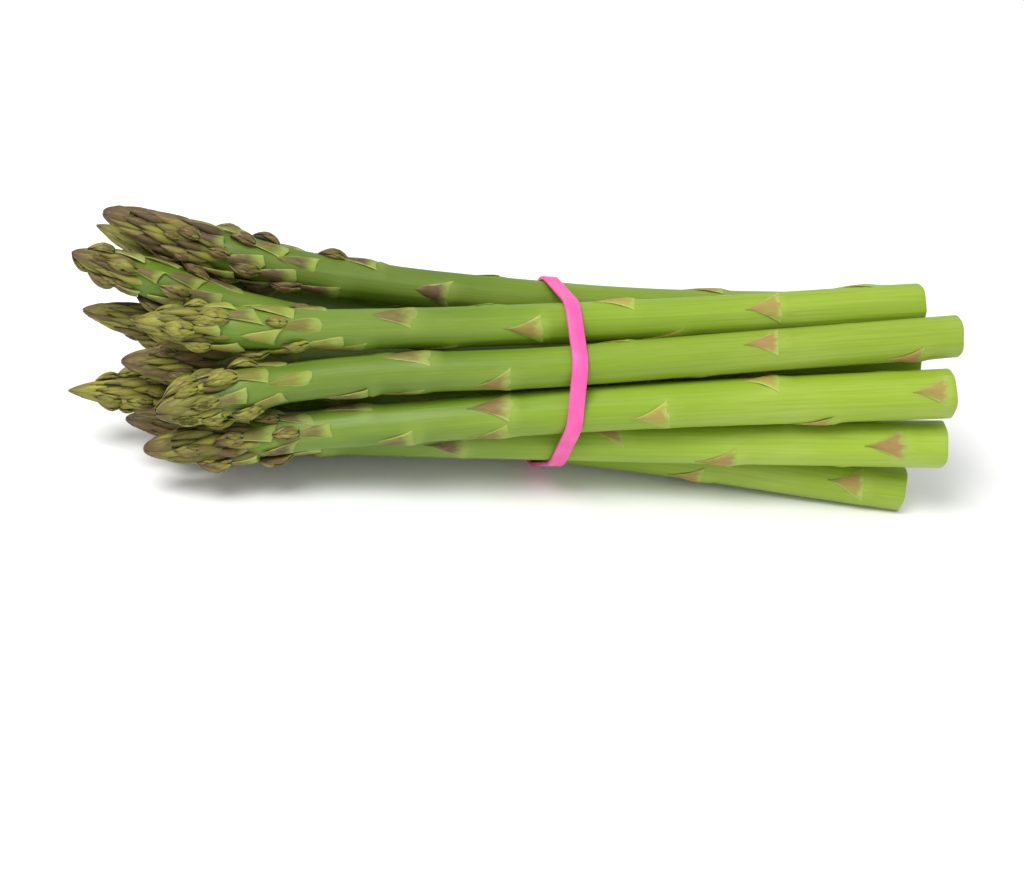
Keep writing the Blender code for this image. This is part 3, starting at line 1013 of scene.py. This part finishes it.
@dataclass
class SpearMaker:
    """Builds one spear on its middle line."""

    spear: Spear
    stem_columns: int = 44
    stem_step: float = 2.6
    cut_bevel: float = 0.9
    ribs: tuple[int, ...] = (3, 7, 11, 17)
    rib_height: float = 0.07
    cut_wobble: float = 0.5
    swell: float = 0.75
    swell_turn: float = 46.0
    swell_length: float = 1.9
    small_step: float = 7.5
    small_lift: float = 0.7
    small_gap: float = 10.0
    small_gap_turn: float = 75.0
    leaf_length: float = 10.5
    leaf_width: float = 5.2
    leaf_step: float = 1.9
    leaf_room: float = 0.4
    bud_length: float = 8.5
    bud_width: float = 3.8
    bud_room: float = 1.5
    leaf_bud_chance: float = 0.8
    pad_bud_chance: float = 0.16
    tip_scales: int = 8
    young_reach: float = 55.0
    leafy_from: float = 0.3
    rng: random.Random = field(init=False)
    skin: Skin = field(init=False)
    bracts: list[tuple[float, float, float]] = field(init=False)
    leaf_start: tuple[float, float] = field(init=False)

    def __post_init__(self) -> None:
        """Seeds the spear's own draws and finds where its bracts are."""
        self.rng = random.Random(self.spear.name)
        self.skin = Skin(self.spear)
        self.bracts = self.bract_places()
        self.bracts += self.small_bracts()

    def room_at(self, point: np.ndarray) -> float:
        """How far a point is from the other spears and from the table.

        Args:
            point: The point.

        Returns:
            The distance.
        """
        room = float(point[2])
        for other in SPEARS:
            if other is self.spear:
                continue
            x = point[0] + MIDDLE[0] + np.arange(-8.0, 9.0, 2.0)
            x = x[(x > other.tip[0]) & (x < other.butt_x)]
            if len(x):
                gaps = np.linalg.norm(point - other.line(x), axis=-1) - other.radius(x)
                room = min(room, float(gaps.min()))
        return room

    def room_round(self, x: float, turn: float) -> float:
        """How far the skin here is from the other spears and from the table.

        Args:
            x: The place along the bundle.
            turn: Degrees round the spear.

        Returns:
            The distance.
        """
        return self.room_at(self.spear.around(x, turn, self.spear.radius(x)))

    def bract_places(self) -> list[tuple[float, float, float]]:
        """The stem's bracts: a golden turn apart, and closer together near the head.

        Returns:
            Each one's place, turn and lift.
        """
        spear = self.spear
        end = spear.tip[0] + spear.head + BRACT_LENGTH * 0.6
        golden_turn = spear.hand * GOLDEN_TURN
        x, turn = spear.bract_x, spear.bract_turn
        while x + spear.bract_step < spear.butt_x - 6:
            x, turn = x + spear.bract_step, turn - golden_turn
        places = []
        while x > end:
            radius = spear.radius(x)
            middle = spear.around(x - BRACT_LENGTH / 3, turn, radius)
            base = spear.around(x, turn, radius)
            room = min(self.room_at(middle), self.room_at(base))
            lift = min(BRACT_LIFT, 0.5 * (room - CLEARANCE))
            if lift > BRACT_LEAST_LIFT and abs(middle[0] - band_x(middle)) > BAND_REACH:
                places.append((x, turn, lift))
            nearness = min(1.0, 1.6 * (x - end) / (spear.butt_x - end))
            x -= spear.bract_step * (1.0 if x > spear.bract_x else 0.72 + 0.28 * nearness)
            turn += golden_turn
        self.leaf_start = (min(x + 4.0, end), turn)
        return places

    def small_bracts(self) -> list[tuple[float, float, float]]:
        """Lower bracts between the others, from the band to the head, where there is room.

        Returns:
            Each one's place, turn and lift.
        """
        spear = self.spear
        end = spear.tip[0] + spear.head + BRACT_LENGTH
        x, turn = BAND_X - BAND_REACH - 3, spear.bract_turn + GOLDEN_TURN / 2
        places = []
        while x > end:
            alone = all(abs(x - at) > self.small_gap
                        or abs((turn - facing + 180) % 360 - 180) > self.small_gap_turn
                        for at, facing, _ in self.bracts)
            lift = min(self.small_lift, 0.5 * (self.room_round(x - BRACT_LENGTH / 3, turn) - CLEARANCE))
            if alone and lift > BRACT_LEAST_LIFT:
                places.append((x, turn, lift))
            x -= self.small_step
            turn += spear.hand * GOLDEN_TURN
        return places

    def stem_rings(self) -> tuple[np.ndarray, np.ndarray]:
        """The stem's rings, crowded at the cut end.

        Returns:
            Their places along the bundle, and their shares of the full radius.
        """
        spear = self.spear
        bevel_x = spear.butt_x - self.cut_bevel
        ends = [spear.butt_x - 0.25 * share**2 for share in (0.0, 0.35, 0.65, 0.85)]
        ends += [spear.butt_x - 0.32, spear.butt_x - 0.55, bevel_x]
        shares = (0.02, 0.35, 0.65, 0.85, 0.94, 0.98, 1.0)
        core_end = spear.tip[0] + 0.5
        count = round((bevel_x - core_end) / self.stem_step)
        stations = bevel_x - (bevel_x - core_end) * np.arange(1, count + 1) / count
        x = np.concatenate((ends, stations))
        return x[:, None], np.concatenate((shares, np.ones(count)))[:, None]

    def swelling(self, x: np.ndarray, turn: np.ndarray) -> np.ndarray:
        """How much the stem swells behind its bracts.

        Args:
            x: Places along the bundle.
            turn: Degrees round the spear.

        Returns:
            The share of the full swelling.
        """
        swell = np.zeros_like(x + turn)
        for at, facing, lift in self.bracts:
            apart = (turn - facing + 180) % 360 - 180
            near = np.exp(-((apart / self.swell_turn) ** 2))
            behind = np.clip(x - at, -1.0, None)
            along = np.exp(-((behind / self.swell_length) ** 2)) * (x > at - 2)
            swell = np.maximum(swell, near * along * min(lift, 0.9))
        return swell

    def closing(self, x: np.ndarray) -> np.ndarray:
        """How far the head has closed over the stem.

        Args:
            x: Places along the bundle.

        Returns:
            0 on the stem to 1 inside the closed head.
        """
        spear = self.spear
        first_closed = spear.open_rows * spear.rows
        start_x = spear.row_x(first_closed - 0.6)
        return np.clip((start_x - x) / (start_x - spear.row_x(first_closed + 1.2)), 0, 1)

    def add_stem(self) -> None:
        """The stem, with faint ribs, swellings behind the bracts, and the core of the head, which the
        finish darkens with painted shade.
        """
        spear = self.spear
        x, share = self.stem_rings()
        turn = np.arange(self.stem_columns)[None, :] * 360 / self.stem_columns
        angle = np.radians(turn)
        phases = [self.rng.uniform(0, 2 * math.pi) for _ in self.ribs]
        ribs = sum(np.cos(n * angle + phase + x * 0.004 * n) for n, phase in zip(self.ribs, phases))
        swell, closed = self.swelling(x, turn), self.closing(x)
        radius = spear.radius(x) - (0.6 + closed) * spear.relief(x)
        radius = share * (radius + self.rib_height * ribs * 0.5 + self.swell * swell)
        wobble = (2 + np.cos(2 * angle + phases[0]) + np.cos(5 * angle + phases[1])) / 4
        cut_depth = self.cut_wobble * wobble * share * np.clip(1 - (spear.butt_x - x) / 2.5, 0, 1)
        place = (x - cut_depth, turn + 0 * x, np.maximum(radius, 0.1))
        # The closed share goes to the finish as across; there it paints shade on the stem inside the
        # closed head.
        self.skin.add_shell(place, Flesh.STEM, np.clip(swell, 0, 1), closed, spear.stem_light,
                            spear.blush * 0.4, (share < 0.97) * 1.0)

    def add_head(self) -> None:
        """The closed part of the head: staggered rows of pads, a few buds, and the tip."""
        spear, rng = self.spear, self.rng
        step = 360 / COLUMNS
        for i in range(1, spear.rows):
            share = i / spear.rows
            for j in range(COLUMNS):
                if (i + j) % 2 or share < spear.open_rows:
                    continue
                turn = (j + HEAD_TWIST * (i + 0.5)) * step + rng.uniform(-7, 7)
                self.add_pad(i, turn, step)
                if share < spear.open_rows + 0.36 and rng.random() < self.pad_bud_chance:
                    self.add_bud(spear.row_x(i - 0.2), turn, rng.uniform(0.5, 0.85), -0.15)
        self.add_tip()

    def add_pad(self, row: int, turn: float, step: float) -> None:
        """One closed pad of the head.

        Args:
            row: Its row, counted from the neck.
            turn: Degrees round the spear to its middle.
            step: Degrees from one column to the next.
        """
        spear, rng = self.spear, self.rng
        x = spear.row_x(row)
        above = spear.row_x(min(row + 1, spear.rows - 0.3))
        below = spear.row_x(row - 1)
        relief = float(spear.relief(x))
        foot_x = below + 0.4 * (below - x) * rng.uniform(0.4, 1.3)
        tip_x = above + (PAD_OVERHANG + rng.uniform(-0.6, 0.5)) * (above - x)
        tip_x = max(tip_x, spear.tip[0] + 1.6)
        crest = 0.1 * relief + rng.uniform(-0.4, 0.1)
        form = Form(Plan.LENS, foot=-1.5 * relief - 0.15, crest=crest,
                    tip=rng.uniform(-0.45, -0.05), sides=1.3 * relief + 0.35, body=0.9,
                    crest_at=rng.uniform(0.45, 0.65), roof=1.7)
        tone = spear.lightness + rng.uniform(-0.45, 0.4)
        blush = min(1.0, max(0.0, spear.blush + rng.uniform(-0.6, 0.4)))
        hidden = 0.0 if row < (spear.open_rows + 0.2) * spear.rows else 0.2
        self.skin.add_scale(spear, foot_x, foot_x - tip_x, turn, step * rng.uniform(0.92, 1.2), form,
                            Flesh.PAD, tone, blush, rng.uniform(-8, 8), hidden)

    def add_leaves(self) -> None:
        """The open leaves, a golden turn apart, from the last bract up to the closed rows."""
        spear, rng = self.spear, self.rng
        x, turn = self.leaf_start
        start = x
        closed_x = spear.row_x(spear.open_rows * spear.rows + 0.8)
        while x > closed_x:
            self.add_leaf(x, turn, (start - x) / (start - closed_x))
            x -= self.leaf_step * rng.uniform(0.85, 1.15)
            turn += spear.hand * GOLDEN_TURN + rng.uniform(-8, 8)

    def add_leaf(self, foot_x: float, turn: float, share: float) -> None:
        """One open leaf, mostly with a bud that breaks out beyond its tip.

        Args:
            foot_x: Where its foot is.
            turn: Degrees round the spear to its middle.
            share: 0 at the last bract to 1 at the closed rows.
        """
        spear, rng = self.spear, self.rng
        room = self.room_round(foot_x - 3, turn) - 0.5
        if room < self.leaf_room:
            return
        lift = min(1.0, room * 0.6)
        size = rng.uniform(0.85, 1.1) * (1 - 0.2 * share)
        half = math.degrees(0.5 * self.leaf_width * size / float(spear.radius(foot_x)))
        form = Form(Plan.LEAF, foot=0.25 * lift, crest=0.7 * lift, tip=0.1, sides=0.75 * lift, body=1.7,
                    crest_at=0.35, notch=rng.uniform(-0.14, 0.14), slant=rng.uniform(-0.14, 0.14),
                    ears=rng.uniform(0.1, 0.4) * lift, columns=11, rows=BRACT_ROWS)
        blush = min(1.0, max(0.0, spear.blush + rng.uniform(-0.2, 0.25)))
        length = self.leaf_length * size
        self.skin.add_scale(spear, foot_x, length, turn, half, form, Flesh.BRACT,
                            spear.lightness + rng.uniform(-0.25, 0.3), blush, rng.uniform(-8, 8))
        if room > self.bud_room and rng.random() < self.leaf_bud_chance:
            self.add_bud(foot_x - 0.78 * length, turn + rng.uniform(-8, 8), rng.uniform(0.7, 1.1))

    def add_tip(self) -> None:
        """The last few scales, which close over the growing tip."""
        spear, rng = self.spear, self.rng
        foot_x = spear.row_x(spear.rows - 2.4)
        for k in range(self.tip_scales):
            form = Form(Plan.CAP, foot=-0.5, crest=0.1 - 0.06 * k, tip=0.1 - 0.04 * k, sides=0.7,
                        body=0.5, crest_at=0.4, roof=1.8, columns=9, rows=TIP_ROWS)
            length = foot_x - spear.tip[0] - 0.02 * k
            self.skin.add_scale(spear, foot_x, length, k * GOLDEN_TURN, 38, form, Flesh.PAD,
                                spear.lightness + rng.uniform(-0.3, 0.25), min(1.0, spear.blush + 0.1),
                                rng.uniform(-10, 10), hidden=0.3)

    def add_bracts(self) -> None:
        """The bracts along the stem. Near the head they are longer, and on purple spears hold a bud."""
        spear, rng = self.spear, self.rng
        head_x = spear.tip[0] + spear.head
        for x, turn, lift in self.bracts:
            half = math.degrees(0.5 * BRACT_WIDTH / float(spear.radius(x)))
            young = max(0.0, 1 - (x - head_x) / self.young_reach)
            if young > self.leafy_from:
                form = Form(Plan.LEAF, foot=0.45 * lift, crest=0.8 * lift, tip=0.16, sides=0.6 * lift,
                            crest_at=0.25, notch=rng.uniform(-0.14, 0.1), slant=rng.uniform(-0.12, 0.12),
                            ears=0.4 * lift, columns=11, rows=BRACT_ROWS)
                half *= 0.85
            else:
                form = Form(Plan.ARROW, foot=0.5 * lift, crest=0.65 * lift, tip=0.14, sides=0.35 * lift,
                            crest_at=0.15, notch=rng.uniform(-0.12, 0.07), slant=rng.uniform(-0.06, 0.06),
                            ears=0.25 * lift, columns=11, rows=BRACT_ROWS)
            length = BRACT_LENGTH * (1 + 0.15 * young) * rng.uniform(0.82, 1.02)
            blush = min(1.0, spear.blush + 0.2 * young)
            self.skin.add_scale(spear, x, length, turn, half * rng.uniform(0.8, 1.0), form, Flesh.BRACT,
                                0.5 + rng.uniform(-0.25, 0.2), blush, rng.uniform(-6, 6))
            if spear.budding and young > 0.35 and lift > 0.7:
                self.add_bud(x - length * 0.8, turn + rng.uniform(-8, 8), 0.8 + 0.25 * young)

    def add_bud(self, foot_x: float, turn: float, size: float, seat: float = 0.2) -> None:
        """A side bud: a spindle under rings of small scales, with pale ones at its foot.

        Args:
            foot_x: Where its foot is.
            turn: Degrees round the spear to its middle.
            size: Its size, 1 for a full one.
            seat: How far out it sits, as a share of half its width.
        """
        spear, rng = self.spear, self.rng
        bud = Bud(spear, foot_x, turn, self.bud_length * size, self.bud_width * size, seat)
        x = bud.foot_x - bud.length * np.array(BUD_STATIONS)[:, None]
        around = np.arange(10)[None, :] * 36.0
        core = bud.place(x, around, 0.72 * bud.radius(x))
        # Across of 0.9 gives the core the pads' near-black edge colour: painted shade in the gaps between
        # the bud's scales.
        self.skin.add_shell(core, Flesh.PAD, 0.4, 0.9, 0.3, spear.blush)
        for start, share, turns in BUD_RINGS:
            for facing in turns:
                form = Form(Plan.LENS, foot=(0.05 if start == 0 else -0.1) * size, crest=0.15 * size,
                            tip=0.02, sides=0.6 * size, body=0.6 * size, crest_at=0.4, rounding=0.3,
                            columns=5, rows=BEAD_ROWS)
                at = bud.foot_x - bud.length * (start + rng.uniform(-0.05, 0.05))
                blush = min(1.0, max(0.0, spear.blush + rng.uniform(-0.3, 0.3)))
                self.skin.add_scale(bud, at, bud.length * share * rng.uniform(0.85, 1.1),
                                    facing + rng.uniform(-10, 10), rng.uniform(26, 34), form, Flesh.PAD,
                                    0.5 + rng.uniform(-0.25, 0.25), blush, rng.uniform(-8, 8),
                                    0.0 if start == 0 else 0.15)

    def make(self, material: bpy.types.Material) -> bpy.types.Object:
        """Builds and dresses the spear.

        Args:
            material: The finish.

        Returns:
            The spear's object.
        """
        self.add_stem()
        self.add_head()
        self.add_leaves()
        self.add_bracts()
        return self.skin.make(material)


@dataclass
class ElasticBand:
    """The flat elastic band, pulled straight from stem to stem, its edges rounded."""

    width: float = BAND_WIDTH
    thickness: float = BAND_THICKNESS
    edge: float = 0.35
    spacing: float = 0.8

    def outline(self) -> np.ndarray:
        """The taut line round the stems.

        Returns:
            Its (y, z) points, anticlockwise and evenly spaced.
        """
        points = []
        for spear in SPEARS:
            tie_x = float(band_x(spear.line(BAND_X))) + MIDDLE[0]
            for x in (tie_x - 0.6 * self.width, tie_x, tie_x + 0.6 * self.width):
                centre = spear.line(x)
                radius = float(spear.radius(x)) + CLEARANCE
                for turn in range(0, 360, 5):
                    angle = math.radians(turn)
                    y = centre[1] + radius * math.cos(angle)
                    z = centre[2] + radius * math.sin(angle)
                    points.append((round(float(y), 3), round(float(z), 3)))
        hull = np.array(self._hull(points))
        closed = np.vstack((hull, hull[:1]))
        lengths = np.concatenate(([0.0], np.cumsum(np.linalg.norm(np.diff(closed, axis=0), axis=1))))
        places = np.linspace(0, lengths[-1], round(lengths[-1] / self.spacing), endpoint=False)
        return np.stack([np.interp(places, lengths, closed[:, k]) for k in (0, 1)], -1)

    @staticmethod
    def _hull(points: list[tuple[float, float]]) -> list[tuple[float, float]]:
        """The convex outline of flat points.

        Args:
            points: The points.

        Returns:
            The outline, anticlockwise.
        """
        ordered = sorted(points)
        halves = []
        for run in (ordered, ordered[::-1]):
            kept: list[tuple[float, float]] = []
            for point in run:
                while len(kept) > 1:
                    (ax, ay), (bx, by) = kept[-2], kept[-1]
                    if (bx - ax) * (point[1] - ay) - (by - ay) * (point[0] - ax) > 0:
                        break
                    kept.pop()
                kept.append(point)
            halves += kept[:-1]
        return halves

    def section(self) -> np.ndarray:
        """The band's cross-section with rounded edges.

        Returns:
            (along the bundle, outwards) points.
        """
        half = self.width / 2 - self.edge
        inner, outer = self.edge, self.thickness - self.edge
        corners = ((half, inner, -90), (half, outer, 0), (-half, outer, 90), (-half, inner, 180))
        points = []
        for along, out, start in corners:
            for turn in (0, 30, 60, 90):
                angle = math.radians(start + turn)
                points.append((along + self.edge * math.cos(angle), out + self.edge * math.sin(angle)))
        return np.array(points)

    def make(self, material: bpy.types.Material) -> bpy.types.Object:
        """Builds and dresses the band.

        Args:
            material: The finish.

        Returns:
            The band's object.
        """
        outline, section = self.outline(), self.section()
        ways = np.roll(outline, -1, axis=0) - np.roll(outline, 1, axis=0)
        ways /= np.linalg.norm(ways, axis=1, keepdims=True)
        out = np.stack((np.zeros(len(ways)), ways[:, 1], -ways[:, 0]), -1)
        rings = np.zeros((len(outline), len(section), 3))
        rings[..., 1:] = outline[:, None, :]
        rings += out[:, None, :] * section[None, :, 1:]
        rings[..., 0] = band_x(rings) + section[None, :, 0]
        count, size = rings.shape[:2]
        faces = []
        for r in range(count):
            low, high = r * size, (r + 1) % count * size
            for c in range(size):
                d = (c + 1) % size
                faces.append((low + c, low + d, high + d, high + c))
        mesh = bpy.data.meshes.new("elastic_band")
        mesh.from_pydata((rings.reshape(-1, 3) * MM).tolist(), [], faces)
        mesh.materials.append(material)
        mesh.shade_smooth()
        piece = bpy.data.objects.new("elastic_band_skin", mesh)
        bpy.context.scene.collection.objects.link(piece)
        return piece


@dataclass(frozen=True)
class Lamp:
    """One soft square light, aimed at the bundle.

    Attributes:
        name: Its name.
        place: Where it hangs, in metres.
        side: Its side, in metres.
        power: Its power, in watts.
    """

    name: str
    place: tuple[float, float, float]
    side: float
    power: float

    def hang(self) -> None:
        """Adds the light to the scene."""
        light = bpy.data.lights.new(self.name, "AREA")
        light.size = self.side
        light.energy = self.power
        lamp = bpy.data.objects.new(self.name, light)
        lamp.location = self.place
        lamp.rotation_mode = "QUATERNION"
        lamp.rotation_quaternion = Vector(self.place).to_track_quat("Z", "Y")
        bpy.context.scene.collection.objects.link(lamp)


@dataclass(frozen=True)
class Studio:
    """The photograph's viewpoint, a white table and soft light."""

    azimuth: float = -9.0
    elevation: float = 30.0
    roll: float = 8.1
    lens: float = 85.0
    sensor: float = 36.0
    distance: float = 0.628
    target_pixel: tuple[float, float] = (516.0, 366.0)
    image: tuple[float, float] = (1024.0, 888.0)
    floor_side: float = 6.0
    sky: float = 0.7
    lamps: tuple[Lamp, ...] = (
        Lamp("key", (-0.4, -0.4, 1.0), 0.55, 11.5),
        Lamp("fill", (0.9, -0.9, 0.7), 0.9, 1.5),
    )

    def add_camera(self) -> None:
        """The camera, with the bundle's middle where the photograph has it."""
        azimuth, elevation, roll = (math.radians(a) for a in (self.azimuth, self.elevation, self.roll))
        back = Vector((math.sin(azimuth) * math.cos(elevation), -math.cos(azimuth) * math.cos(elevation),
                       math.sin(elevation)))
        level = Vector((math.cos(azimuth), math.sin(azimuth), 0.0))
        upright = level.cross(-back)
        right = level * math.cos(roll) + upright * math.sin(roll)
        up = upright * math.cos(roll) - level * math.sin(roll)
        target = Vector((-MIDDLE[0], -MIDDLE[1], AXIS_HEIGHT)) * MM
        turned = Matrix((right, up, back)).transposed().to_4x4()
        camera = bpy.data.objects.new("camera", bpy.data.cameras.new("camera"))
        camera.matrix_world = Matrix.Translation(target + back * self.distance) @ turned
        camera.data.lens = self.lens
        camera.data.sensor_width = self.sensor
        camera.data.shift_x = (self.image[0] / 2 - self.target_pixel[0]) / self.image[0]
        camera.data.shift_y = (self.target_pixel[1] - self.image[1] / 2) / self.image[0]
        camera.data.clip_start = 0.01
        bpy.context.scene.collection.objects.link(camera)
        bpy.context.scene.camera = camera

    def add_floor(self) -> None:
        """The table that the bundle lies on."""
        half = self.floor_side / 2
        corners = [(-half, -half, 0), (half, -half, 0), (half, half, 0), (-half, half, 0)]
        mesh = bpy.data.meshes.new("floor")
        mesh.from_pydata(corners, [], [(0, 1, 2, 3)])
        mesh.materials.append(FloorFinish().make())
        floor = bpy.data.objects.new("floor", mesh)
        bpy.context.scene.collection.objects.link(floor)

    def add_sky(self) -> None:
        """Even white light from all round."""
        world = bpy.data.worlds.new("sky")
        world.use_nodes = True
        background = world.node_tree.nodes["Background"]
        background.inputs["Color"].default_value = (1.0, 1.0, 1.0, 1.0)
        background.inputs["Strength"].default_value = self.sky
        bpy.context.scene.world = world

    def build(self) -> None:
        """Sets the whole studio up."""
        bpy.context.scene.view_settings.view_transform = "Standard"
        self.add_camera()
        self.add_floor()
        self.add_sky()
        for lamp in self.lamps:
            lamp.hang()


def put(piece: bpy.types.Object, node: str) -> None:
    """Ties a piece to the body and hides the solid that it stands for.

    Args:
        piece: The piece.
        node: The solid that it replaces.
    """
    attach(piece, "root")
    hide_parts(node)
    LOG.info("%s replaces %s with %d faces", piece.name, node, len(piece.data.polygons))


def main() -> None:
    """Builds the studio, the spears and the band."""
    logging.basicConfig(level=logging.INFO, format="%(message)s")
    Studio().build()
    skin = SpearFinish().make()
    for spear in SPEARS:
        put(SpearMaker(spear).make(skin), spear.name)
    put(ElasticBand().make(BandFinish().make()), "elastic_band")


if __name__ == "__main__":
    main()
